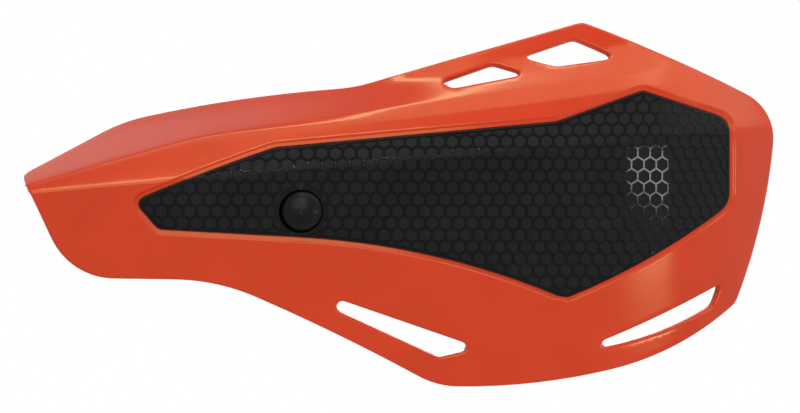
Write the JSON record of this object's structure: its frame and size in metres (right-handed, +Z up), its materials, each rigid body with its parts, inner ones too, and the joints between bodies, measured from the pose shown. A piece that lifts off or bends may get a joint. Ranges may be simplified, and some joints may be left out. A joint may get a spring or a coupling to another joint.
{
  "type": "motorcycle hand guard",
  "caption": "Left-hand motorcycle hand guard: folded orange shield with a black honeycomb front panel, arm and handlebar clamp.",
  "frame": {"origin": "centre of the handlebar clamp's bore", "axes": "+X along the bar to its outer end, -Y forward through the shield, +Z up"},
  "size_m": [0.251, 0.1062, 0.1217],
  "materials": {
    "shield_plastic": "gloss",
    "panel_plastic": "gloss relief",
    "black_bolt": "gloss black",
    "bracket_plastic": "fine grain",
    "plated_steel": "zinc plated"
  },
  "bodies": {
    "root": {"guard_shell": "shield_plastic", "honeycomb_panel": "panel_plastic", "shield_bolt": "black_bolt", "shield_washer": "plated_steel", "shield_nut": "plated_steel", "mount_bracket": "bracket_plastic", "clamp_cap": "bracket_plastic", "clamp_bolts": "plated_steel", "clamp_washers": "plated_steel", "clamp_nuts": "plated_steel"}
  },
  "joints": []
}
